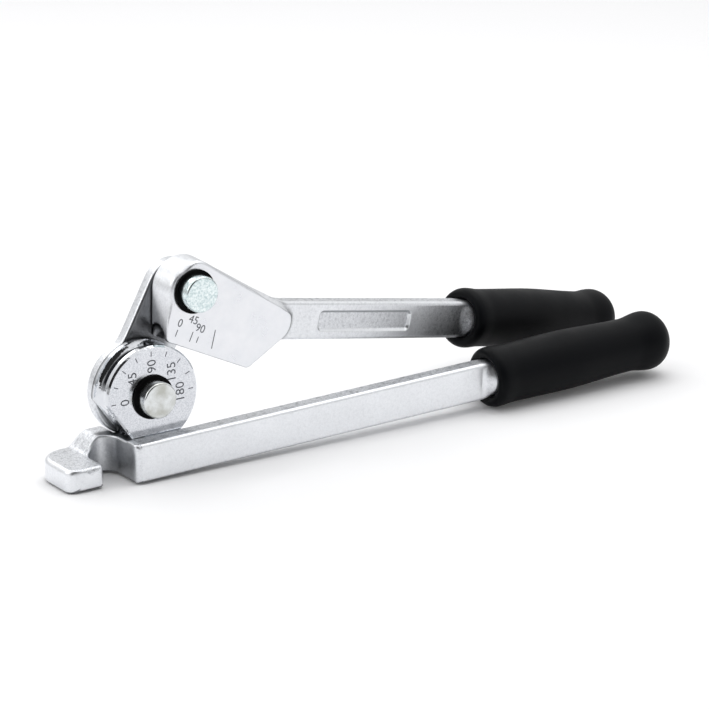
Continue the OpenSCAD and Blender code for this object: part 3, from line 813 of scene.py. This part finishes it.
def head_side(points, normals):
    """Rows of the head's outline from the front face over the rounded edge, the side and the back
    edge, as insets from the outline and depths."""
    wide, deep, draft, hollow = head_edges(points, normals)
    c, s = arc(0, 90, 9)
    near, beside = 0.3, 0.02
    half = np.sqrt(GROOVE_R ** 2 - (SHOE_GROOVE_V + SHOE_DROP) ** 2)
    swing = np.linspace(np.arccos(half / GROOVE_R), np.pi - np.arccos(half / GROOVE_R), 21)
    side_y = GROOVE_Y - GROOVE_R * np.cos(swing)
    side_y = np.concatenate([[side_y[0] - beside], side_y, [side_y[-1] + beside]])
    share = np.arange(1, 7) / 7
    lip_y = HEAD_FRONT + deep + share[:, None] * (side_y[0] - HEAD_FRONT - deep)
    side_y = np.concatenate([side_y, side_y[-1] + share * (HEAD_BACK - BACK_EDGE - side_y[-1])])
    face_y = np.full((1, len(points)), HEAD_FRONT)
    front_in = np.concatenate([[wide + near], np.outer(1 - s, wide), 0 * lip_y])
    front_y = np.concatenate([face_y, HEAD_FRONT + np.outer(1 - c, deep), lip_y])
    rear_in = np.concatenate([np.zeros(len(side_y)), BACK_EDGE * (1 - s[::-1]), [BACK_EDGE + near]])
    rear_y = np.concatenate([side_y, HEAD_BACK - BACK_EDGE * (1 - c[::-1]), [HEAD_BACK]])
    columns = np.ones(len(points))
    inset = np.concatenate([front_in, np.outer(rear_in, columns)])
    depth = np.concatenate([front_y, np.outer(rear_y, columns)])
    inset = inset + draft * (HEAD_BACK - depth) / (HEAD_BACK - HEAD_FRONT)
    inset = inset + hollow * (1 - np.clip((depth - HEAD_FRONT - deep) / HOLLOW_DEPTH, 0, 1)) ** 2
    return inset, depth


def head_sections():
    """Head with the pin's bore: rows from the bore over the front face, the rounded edge, the side
    and the back. Under the shoe the side is lifted to a half-round groove for the tube, flared at the
    heel. Also gives each point's painted shade: in the groove, more at the flared heel, and on the
    front edge at the right and along the shoe."""
    groove_shade, flare_shade, right_shade, shoe_shade = 0.4, 0.6, 0.55, 0.35
    edge_rows = slice(4, 7)
    points, normals = belt_outline(HEAD_CIRCLES)
    inset, depth = head_side(points, normals)
    rim = points - inset[..., None] * normals
    heel_u = HEAD_CIRCLES[0, 0] - HEAD_CIRCLES[0, 2]
    flare = np.clip(1 - (points[:, 0] - heel_u) / GROOVE_FLARE_L, 0, 1) ** 2
    groove_r = GROOVE_R + GROOVE_FLARE * flare
    aside = depth - GROOVE_Y - GROOVE_FLARE_BACK * flare
    roof = SHOE_GROOVE_V + np.sqrt(np.maximum(groove_r ** 2 - aside ** 2, 0))
    # Painted shade in the groove, and along the front edge at the right and along the shoe.
    recess = np.where(roof > rim[..., 1] - 0.01, groove_shade + flare_shade * flare, 0)
    edge_line = right_shade * fade(normals[:, 0], -0.15, 0.45) + shoe_shade * (normals[:, 1] < -0.5)
    recess[edge_rows] = np.maximum(recess[edge_rows], edge_line)
    rim[..., 1] = np.maximum(rim[..., 1], roof)
    way = heading(np.arctan2(points[:, 1], points[:, 0]))
    bore, mouth = BORE_R * way, (BORE_R + BORE_CHAMFER) * way
    flat = np.concatenate([[bore, mouth], rim, [mouth, bore]])
    bore_y = np.array([HEAD_FRONT + BORE_CHAMFER, HEAD_FRONT, HEAD_BACK, HEAD_BACK - BORE_CHAMFER])
    bore_y = np.outer(bore_y, np.ones(len(points)))
    depth = np.concatenate([bore_y[:2], depth, bore_y[2:]])
    return in_head(flat, depth), np.pad(recess, ((2, 2), (0, 0)))


def panel_inside(x, z):
    """Distance inside the border of the panel, a rounded rectangle on the bar's front."""
    along_x = np.abs(x - PANEL_START - PANEL_L / 2) - PANEL_L / 2 + PANEL_R
    along_z = np.abs(z) - PANEL_H / 2 + PANEL_R
    return PANEL_R - np.hypot(np.maximum(along_x, 0), np.maximum(along_z, 0))


def panel_press(x, z):
    """Depth of the panel: full inside a rounded rectangle, and eased out over a slope at its border."""
    return PANEL_DEPTH * eased(panel_inside(x, z) / PANEL_SLOPE)


def on_upper_bar(points):
    """Carries points made along +X to the axis of the upper bar."""
    cp, sp, cs, ss = np.cos(BAR_PITCH), np.sin(BAR_PITCH), np.cos(BAR_SPLAY), np.sin(BAR_SPLAY)
    axes = np.array([[cs * cp, ss, cs * sp], [-ss * cp, cs, -ss * sp], [-sp, 0, cp]])
    return points @ axes + BAR_ROOT


def root_rise(bar):
    """Lifts the top of the bar's root along a hollow arc that runs up into the head's top side, and
    tucks its start under that side."""
    back = np.clip(TOP_FILLET_END - bar[..., 0], 0, None)
    bend = np.minimum(back, TOP_FILLET * np.sin(TOP_LEAN))
    rise = TOP_FILLET - np.sqrt(TOP_FILLET ** 2 - bend ** 2) + (back - bend) * 0.8 * np.tan(TOP_LEAN)
    rise = rise - ROOT_TUCK * fade(bar[..., 0], -3, -10)
    lifted = bar.copy()
    lifted[..., 2] += rise * np.clip(bar[..., 2] / (BAR_H / 2), 0, 1)
    return lifted


def root_flare(points, side):
    """Spreads the bar's root to the head's thickness by a hollow quarter round. A point's distance
    from the head is its greatest height over the tangents of the head's outline, drawn in at the front
    by the hollow there. Also gives how deep each point lies in the corner, from 0 to 1."""
    outline, normals = belt_outline(HEAD_CIRCLES)
    flat = (points[..., [0, 2]] - SHOE_PIN) @ turn_by(SHOE_WAY).T
    over = flat @ normals.T - (outline * normals).sum(1)
    hollow = head_edges(outline, normals)[3]
    apart = np.where(side < 0, (over + hollow).max(-1), over.max(-1))
    near = np.clip(1 - apart / ROOT_FILLET, 0, 1)
    share = (1 - np.sqrt(1 - near ** 2)) * np.clip(np.abs(side) / (BAR_T / 2), 0, 1)
    reach = np.where(side < 0, HEAD_FRONT + ROOT_IN, HEAD_BACK - ROOT_IN)
    spread = points.copy()
    spread[..., 1] += share * (reach - points[..., 1])
    return spread, fade(apart, ROOT_FILLET + 1.9, ROOT_FILLET - 0.3) * np.clip(1 + apart, 0, 1)


def upper_bar_grain_and_shade(bar, stations, section, reach):
    """Grain and painted shade of the upper bar before it is put in place. Its front is grained in the
    panel and, where hands rub it, next to the grip. Shade is painted on the panel's upper and left walls,
    and next to the grip a painted dark reflection lies on the front and on the bar's lower edge."""
    face_grain, panel_grain, rubbed_grain = 0.32, 0.6, 0.95
    wall_shade, grip_reflection_shade, edge_shade = 0.55, 0.42, 0.7
    across, up = section
    x, z = bar[..., 0], bar[..., 2]
    front = across < 0
    pressed = panel_press(x, z) / PANEL_DEPTH * front
    slope = 4 * pressed * (1 - pressed)
    rubbed_and_dark_reflection = fade(stations, 86, 120)[:, None] * (np.abs(up) < BAR_H / 2 - BAR_EDGE)
    front_grain = np.maximum(panel_grain * pressed ** 4, rubbed_grain * rubbed_and_dark_reflection)
    front_grain = np.maximum(face_grain * (1 - slope), front_grain) * front
    grain = np.maximum(bar_grain(stations, section, reach), front_grain)
    grain = HEAD_GRAIN + (grain - HEAD_GRAIN) * fade(stations, -7, 7)[:, None]
    inside = panel_inside(x, z)
    shaded = (z > PANEL_H / 2 - 2) | (x < PANEL_START + 2)
    wall = fade(inside, 0.1, 0.5) * fade(inside, 1.7, 0.9) * front * shaded
    low_edge = fade(stations, 45, 85)[:, None] * (up < 0.8 * BAR_EDGE - BAR_H / 2)
    rubbed_and_dark_reflection = rubbed_and_dark_reflection * (1 - run_out(stations, reach))[:, None]
    # Painted shade on the panel's upper and left walls; painted dark reflections next to the grip and on the
    # lower edge.
    return grain, wall_shade * wall + grip_reflection_shade * rubbed_and_dark_reflection + edge_shade * low_edge


def upper_handle():
    """Head and bar: two closed skins that run into each other. Shade is painted in the corner between
    them, most of all beside the head's face."""
    face_rows, corner_shade, face_shade = 3, 0.3, 0.6
    head, head_shade = head_sections()
    reach = UPPER_REACH - UPPER_MOUTH_EARLY + LIP_CONTACT
    fine, border = np.linspace(-0.3, 2.6, 20), PANEL_H / 2
    stations = np.concatenate([np.linspace(-10, 14.8, 94), PANEL_START + fine,
                               PANEL_START + PANEL_L - fine[::-1], bar_end(reach)])
    heights = np.concatenate([np.linspace(-BAR_FLAT, -border - 0.6, 4), -border + fine,
                              np.linspace(-2, 2, 8), border - fine[::-1],
                              np.linspace(border + 0.6, BAR_FLAT, 4)])
    section = rounded_section(BAR_T, BAR_H, BAR_EDGE, heights)
    across, up = section
    bar = bar_sections(stations, section, reach, panel_press)
    bar_wear, bar_shade = upper_bar_grain_and_shade(bar, stations, section, reach)
    bar, corner = root_flare(on_upper_bar(root_rise(bar)), across)
    beside_face = fade(up, 7, 2) * fade(up, -9, -3)
    # Painted shade in the corner between the head and the bar.
    root_shade = corner * (np.abs(up) < BAR_H / 2 - 0.3) * (corner_shade + face_shade * beside_face)
    head_points, head_faces = ring_skin(head)
    bar_points, bar_faces = closed_skin(bar)
    row = np.repeat(np.arange(len(head)), head.shape[1])
    finish = np.concatenate([row < face_rows, np.zeros(len(bar_faces), bool)])
    recess = np.concatenate([head_shade.ravel(), with_ends(root_shade + bar_shade)])
    grain = np.concatenate([np.full(head_shade.size, HEAD_GRAIN), with_ends(bar_wear)])
    make_piece("upper_handle_forging", [(head_points, head_faces), (bar_points, bar_faces)], [FORGED, GROUND],
               "upper", "forged_steel", ["upper_handle"], finish=finish, recess=recess, grain=grain)


upper_handle()


# Grips

WAIST_R, WAIST_AT = 13.8, 12
SWELL_R, SWELL_AT = 14.2, 43
NECK_R, NECK_AT = 12.9, 84
CAP_L = 11.8
LOWER_BULB_R, UPPER_BULB_R, UPPER_SHORT = 14.35, 14.1, 1.6


def grip_sections(early, length, bulb_r):
    """Grip along +X from its mouth: the rolled lip round the bar's end, a waist, a swell, a neck and an
    end bulb joined by smooth steps, and a half-ellipse cap. An early mouth lengthens the lip end."""
    cap_at = length - CAP_L
    places = [LIP_AT - early, WAIST_AT - early, SWELL_AT, NECK_AT, cap_at]
    sizes = [LIP_R, WAIST_R, SWELL_R, NECK_R, bulb_r]
    s = np.linspace(places[0], cap_at, 70)[1:]
    k = np.clip(np.searchsorted(places, s, side="left") - 1, 0, len(places) - 2)
    before, after = np.take(sizes, k), np.take(sizes, k + 1)
    body = before + (after - before) * fade(s, np.take(places, k), np.take(places, k + 1))
    c, t = arc(0, 88, 20)
    lip_c, lip_t = arc(232, 90, 22)
    lip_s, lip_r = LIP_AT * (1 + lip_c) - early, LIP_R - LIP_ROLL + LIP_ROLL * lip_t
    within = np.array([2, 1])
    radius = np.concatenate([lip_r[0] - 0.3 * within, lip_r, body, bulb_r * c[1:]])
    station = np.concatenate([lip_s[0] + 2 * within, lip_s, s, cap_at + CAP_L * t[1:]])
    angle = np.linspace(0, 2 * np.pi, 96, endpoint=False)
    x = np.broadcast_to(station[:, None], (len(station), len(angle)))
    return np.stack([x, np.outer(radius, np.cos(angle)), np.outer(radius, np.sin(angle))], -1)


def grips():
    """The same sleeve on both bars; the upper one reaches a little further up its bar."""
    lower = grip_sections(0, GRIP_L, LOWER_BULB_R) + (LOWER_REACH, 0, BAR_H / 2)
    upper = grip_sections(UPPER_MOUTH_EARLY, GRIP_L - UPPER_SHORT, UPPER_BULB_R) + (UPPER_REACH, 0, 0)
    upper = on_upper_bar(upper)
    make_piece("lower_grip_sleeve", [closed_skin(lower)], [RUBBER], "lower", "grip_rubber", ["lower_grip"])
    make_piece("upper_grip_sleeve", [closed_skin(upper)], [RUBBER], "upper", "grip_rubber", ["upper_grip"])


grips()


# Dial on the form and scale on the shoe

MARK_PROUD = 0.03
MARK_W = 0.42
TICK_IN, TICK_OUT = 18.3, 20.6
DIAL_NUMBER_R, DIAL_NUMBER_H, SHOE_NUMBER_H = 13.9, 4.5, 3.7
# Font size for numerals one millimetre high
NUMERAL_SIZE = 1.38
SHOE_LINES = [((-1, -21.3), (-1, -18.2)), ((7, -21.5), (7, -16.9)), ((10.6, -21), (10.6, -18.2)),
              ((19.4, -21.4), (17.8, -13))]
SHOE_NUMBERS = [("0", (-1, -15)), ("45", (5.0, -11.8)), ("90", (10, -14.4))]


def stroke(start, end):
    """Thin flat bar from start to end in a face."""
    start, end = np.asarray(start, float), np.asarray(end, float)
    way = (end - start) / np.hypot(*(end - start))
    side = np.array([-way[1], way[0]]) * MARK_W / 2
    return np.array([start - side, end - side, end + side, start + side]), [[0, 1, 2, 3]]


def numeral(text, centre, height, turn):
    """Flat outline of a plain number, its middle at centre, turned anticlockwise."""
    curve = bpy.data.curves.new("numeral", "FONT")
    curve.body = text
    curve.size = height * NUMERAL_SIZE
    curve.align_x, curve.align_y = "CENTER", "CENTER"
    curve.resolution_u = 6
    lettering = bpy.data.objects.new("numeral", curve)
    bpy.context.scene.collection.objects.link(lettering)
    flat = bpy.data.meshes.new_from_object(lettering.evaluated_get(bpy.context.evaluated_depsgraph_get()))
    co = np.zeros(len(flat.vertices) * 3)
    flat.vertices.foreach_get("co", co)
    faces = [list(polygon.vertices) for polygon in flat.polygons]
    bpy.data.objects.remove(lettering)
    bpy.data.curves.remove(curve)
    bpy.data.meshes.remove(flat)
    co = co.reshape(-1, 3)[:, :2]
    co = co - (co.min(0) + co.max(0)) / 2
    return co @ turn_by(turn) + centre, faces


def raised(marks, place, face_y):
    """Flat marks carried to a face, a hair proud of it, with a second layer just inside it and walls
    between."""
    skins = []
    for flat, faces in marks:
        n = len(flat)
        layers = [place(flat, face_y - MARK_PROUD), place(flat, face_y + MARK_PROUD)]
        edges = [edge for face in faces for edge in zip(face, face[1:] + face[:1])]
        known = set(edges)
        walls = [[b, a, a + n, b + n] for a, b in edges if (b, a) not in known]
        under = [[k + n for k in face[::-1]] for face in faces]
        skins.append((np.concatenate(layers), faces + under + walls))
    return skins


def on_form(flat, depth):
    """Points of the form's face from distances right and up from its axis."""
    return upright(flat + FORM_AXIS, depth)


def dial():
    """Bend angles round the form: a tick every 22.5 degrees from the left over the top, and the
    numbers of the main angles inside them, all turned the same way."""
    ticks = [180 - 22.5 * k for k in range(9)] + [225]
    ways = [heading(np.radians(degrees)) for degrees in ticks]
    marks = [stroke(TICK_IN * way, TICK_OUT * way) for way in ways]
    for k, text in enumerate(["0", "45", "90", "135", "180"]):
        marks.append(numeral(text, DIAL_NUMBER_R * ways[2 * k], DIAL_NUMBER_H, np.pi / 2))
    make_piece("dial_marks", raised(marks, on_form, FORM_FRONT), [STAMPED], "lower", "black_steel", crease=20)


def shoe_scale():
    """Lines on the head above the shoe, at the bend's start and at its first angles."""
    marks = [stroke(start, end) for start, end in SHOE_LINES]
    marks += [numeral(text, centre, SHOE_NUMBER_H, 0) for text, centre in SHOE_NUMBERS]
    make_piece("shoe_marks", raised(marks, in_head, HEAD_FRONT), [STAMPED], "upper", "black_steel", crease=20)


dial()
shoe_scale()

frame["nodes"]["form_screws"].data.materials.clear()
frame["nodes"]["form_screws"].data.materials.append(FORGED)


# Stage: white sweep, soft light and the camera

# Where the tool touches the paper: under the hook and both grips
HOOK_REST, LOWER_REST, UPPER_REST = (-44.2, 3.4, 0), (180.9, 0, -5.5), (279, 50.7, -7.95)
PAPER_HALF, PAPER_GAP = 6, 0.0002
OPEN_SIDE = (-0.33, -0.87, 0.36)
CAMERA_AZIMUTH, CAMERA_ELEVATION, CAMERA_ROLL = np.radians([34.462, 18.330, 0.621])
CAMERA_AIM = np.array([0, 0, 34.7])
CAMERA_AWAY = 1309.7
CAMERA_RIGHT, CAMERA_UP = 85.07, 19.64
CAMERA_LENS, CAMERA_SENSOR = 153.65, 36


def white_paper():
    """White paper sweep: an even matt white that keeps the object's shadow. It glows a little to the
    camera and in reflections, but adds no light to the object."""
    material, tree, _ = new_material("white_paper")
    rays = add(tree, "LightPath", {}).outputs
    seen = add(tree, "Math", {0: rays["Is Camera Ray"], 1: rays["Is Glossy Ray"]}, operation="MAXIMUM")
    seen = add(tree, "Math", {0: seen, 1: rays["Is Transmission Ray"]}, operation="MAXIMUM")
    glow = add(tree, "Math", {0: seen, 1: 0.04}, operation="MULTIPLY")
    return surfaced(material, {"Base Color": linear("#F4F4F5"), "Roughness": 0.9, "Specular IOR Level": 0.1,
                               "Emission Color": (1, 1, 1, 1), "Emission Strength": glow})


def row_point(x, y, z):
    """A point of the handle's frame in metres in the row frame."""
    return Vector((np.array([x, y, z]) + HANDLE_ORIGIN) / 1000)


def floor():
    """Paper that touches the underside of the hook and both grips' bulbs, as a table does."""
    hook, lower, upper = row_point(*HOOK_REST), row_point(*LOWER_REST), row_point(*UPPER_REST)
    up = (lower - hook).cross(upper - hook).normalized()
    along_x = (lower - hook).normalized()
    along_y = up.cross(along_x)
    middle = lower - PAPER_GAP * up
    signs = (-1, -1), (1, -1), (1, 1), (-1, 1)
    corners = [middle + PAPER_HALF * (a * along_x + b * along_y) for a, b in signs]
    mesh = bpy.data.meshes.new("paper")
    mesh.from_pydata(corners, [], [[0, 1, 2, 3]])
    mesh.materials.append(white_paper())
    paper = bpy.data.objects.new("paper", mesh)
    bpy.context.scene.collection.objects.link(paper)


def lamp(name, place, aim, width, height, power):
    """Soft box: a lit rectangle at a place, turned towards what it lights."""
    light = bpy.data.lights.new(name, "AREA")
    light.shape = "RECTANGLE"
    light.size, light.size_y, light.energy = width, height, power
    box = bpy.data.objects.new(name, light)
    box.location = place
    box.rotation_mode = "QUATERNION"
    box.rotation_quaternion = (Vector(aim) - Vector(place)).to_track_quat("-Z", "Y")
    bpy.context.scene.collection.objects.link(box)


def studio():
    """Light tent: white overhead, a little greyer towards the horizon, and dark at its open side, where
    a camera stands. Soft boxes overhead, at the left and at the back add to it."""
    world = bpy.data.worlds.new("studio")
    bpy.context.scene.world = world
    world.use_nodes = True
    tree = world.node_tree
    tree.nodes.clear()
    way = add(tree, "TexCoord", {}).outputs["Object"]
    height = add(tree, "SeparateXYZ", {"Vector": way}).outputs["Z"]
    tent = add(tree, "ValToRGB", {"Fac": height}, [(0, "#A0A0A0"), (0.12, "#D2D2D2"), (0.31, "#F7F7F7"),
                                                   (0.6, "#FFFFFF"), (1, "#FFFFFF")])
    aside = add(tree, "VectorMath", {0: way, 1: OPEN_SIDE}, operation="DOT_PRODUCT").outputs["Value"]
    opening = add(tree, "MapRange", {"Value": aside, "From Min": 0.76, "From Max": 0.85,
                                     "To Min": 1.0, "To Max": 0.03}, interpolation_type="SMOOTHSTEP")
    sky = add(tree, "Background", {"Color": tent, "Strength": opening})
    add(tree, "OutputWorld", {"Surface": sky})
    lamp("overhead", (0.35, 0.05, 1.1), (0.05, 0, 0), 1.0, 0.8, 4)
    lamp("left", (-1.0, 0.35, 0.7), (-0.05, 0, 0.03), 0.5, 0.5, 1.5)
    lamp("back", (-0.15, 0.95, 0.78), (-0.15, 0, 0.02), 0.5, 0.4, 1.0)


def camera():
    """Camera at the left front, a little above, aimed past the form to the middle of the tool."""
    sa, ca, se, ce = (f(a) for a in (CAMERA_AZIMUTH, CAMERA_ELEVATION) for f in (np.sin, np.cos))
    away = np.array([-sa * ce, -ca * ce, se])
    level, over = np.array([ca, -sa, 0]), np.array([sa * se, ca * se, ce])
    right = np.cos(CAMERA_ROLL) * level - np.sin(CAMERA_ROLL) * over
    up = np.sin(CAMERA_ROLL) * level + np.cos(CAMERA_ROLL) * over
    place = CAMERA_AIM + CAMERA_RIGHT * right + CAMERA_UP * up + CAMERA_AWAY * away
    data = bpy.data.cameras.new("camera")
    data.lens, data.sensor_width = CAMERA_LENS, CAMERA_SENSOR
    data.clip_start, data.clip_end = 0.05, 50
    eye = bpy.data.objects.new("camera", data)
    turned = Matrix(np.stack([right, up, away], 1).tolist()).to_4x4()
    eye.matrix_world = Matrix.Translation(row_point(*place)) @ turned
    bpy.context.scene.collection.objects.link(eye)
    bpy.context.scene.camera = eye


floor()
studio()
camera()
bpy.context.scene.view_settings.view_transform = "Standard"
